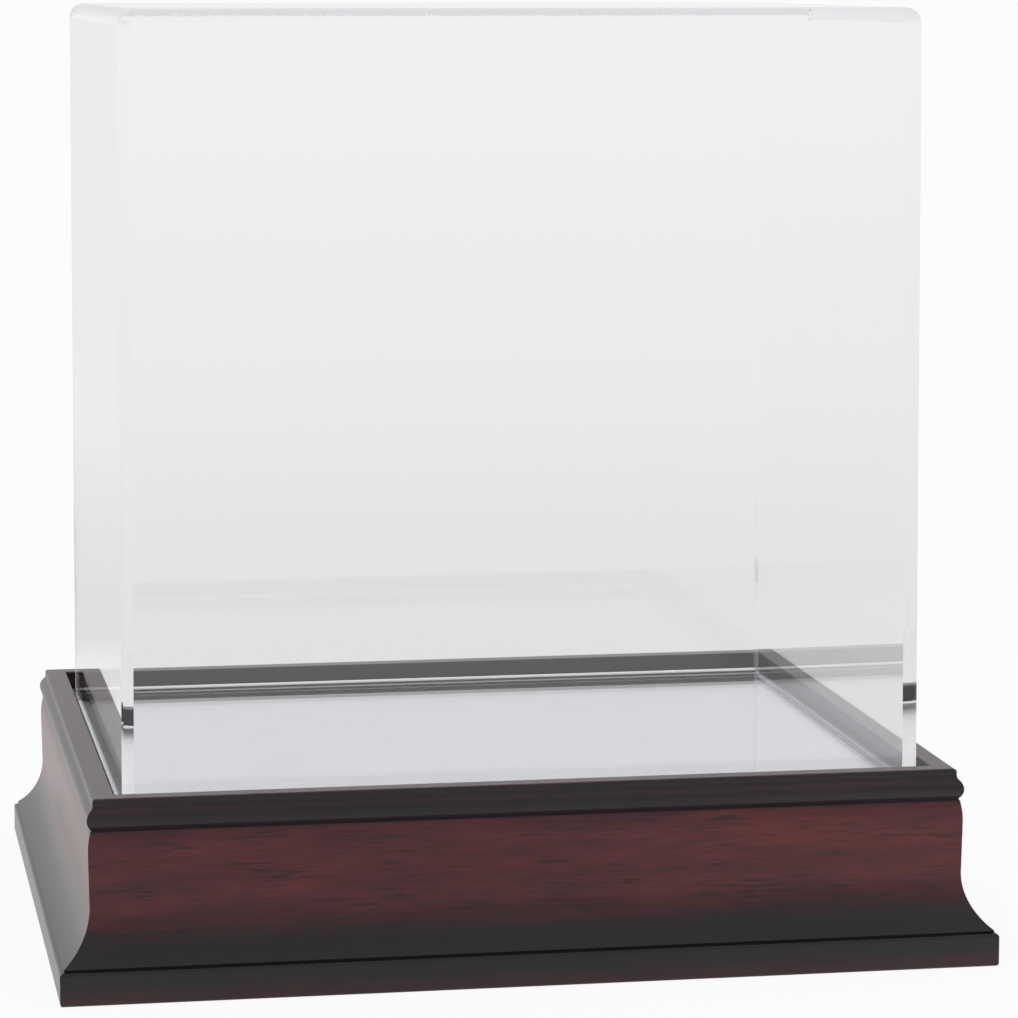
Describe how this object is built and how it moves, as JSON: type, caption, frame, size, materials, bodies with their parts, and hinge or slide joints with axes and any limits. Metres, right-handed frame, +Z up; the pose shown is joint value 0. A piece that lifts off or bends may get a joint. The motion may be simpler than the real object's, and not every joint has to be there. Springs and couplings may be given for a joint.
{
  "type": "display case",
  "caption": "Table-top display case: a mitred dark wood base with a mirror floor inside its rim, and a clear acrylic box cover that stands in the rim and lifts straight off.",
  "frame": {"origin": "middle of the base's underside, on the surface that the case stands on", "axes": "+X to the right along the front, +Y towards the back, +Z up"},
  "size_m": [0.225, 0.195, 0.229],
  "materials": {
    "mahogany_finish": "satin lacquer over a dark red-brown stain, shaded darker along the edges",
    "clear_acrylic": "clear polished sheet",
    "mirror": "silvered underneath",
    "fibreboard": "bare",
    "stained_board": "fibreboard stained black-brown, because its margin shows round the mirror",
    "block_softwood": "bare",
    "foam_tape": "matt",
    "felt": "black felt",
    "fastener_steel": "bright zinc plated"
  },
  "bodies": {
    "base": {"front_moulding": "mahogany_finish", "back_moulding": "mahogany_finish", "left_moulding": "mahogany_finish", "right_moulding": "mahogany_finish", "mitre_v_nails": "fastener_steel", "deck_board": "stained_board", "deck_screws": "fastener_steel", "mirror_tape": "foam_tape", "mirror_plate": "mirror", "corner_block_front_left": "block_softwood", "corner_block_front_right": "block_softwood", "corner_block_back_left": "block_softwood", "corner_block_back_right": "block_softwood", "bottom_board": "fibreboard", "bottom_screws": "fastener_steel", "felt_sheet": "felt"},
    "cover": {"cover_wrap": "clear_acrylic", "cover_front_panel": "clear_acrylic", "cover_back_panel": "clear_acrylic"}
  },
  "joints": [
    {"name": "cover_lift", "type": "slide", "parent": "base", "child": "cover", "axis": [0, 0, 1], "range_m": [0, 0.2]}
  ]
}
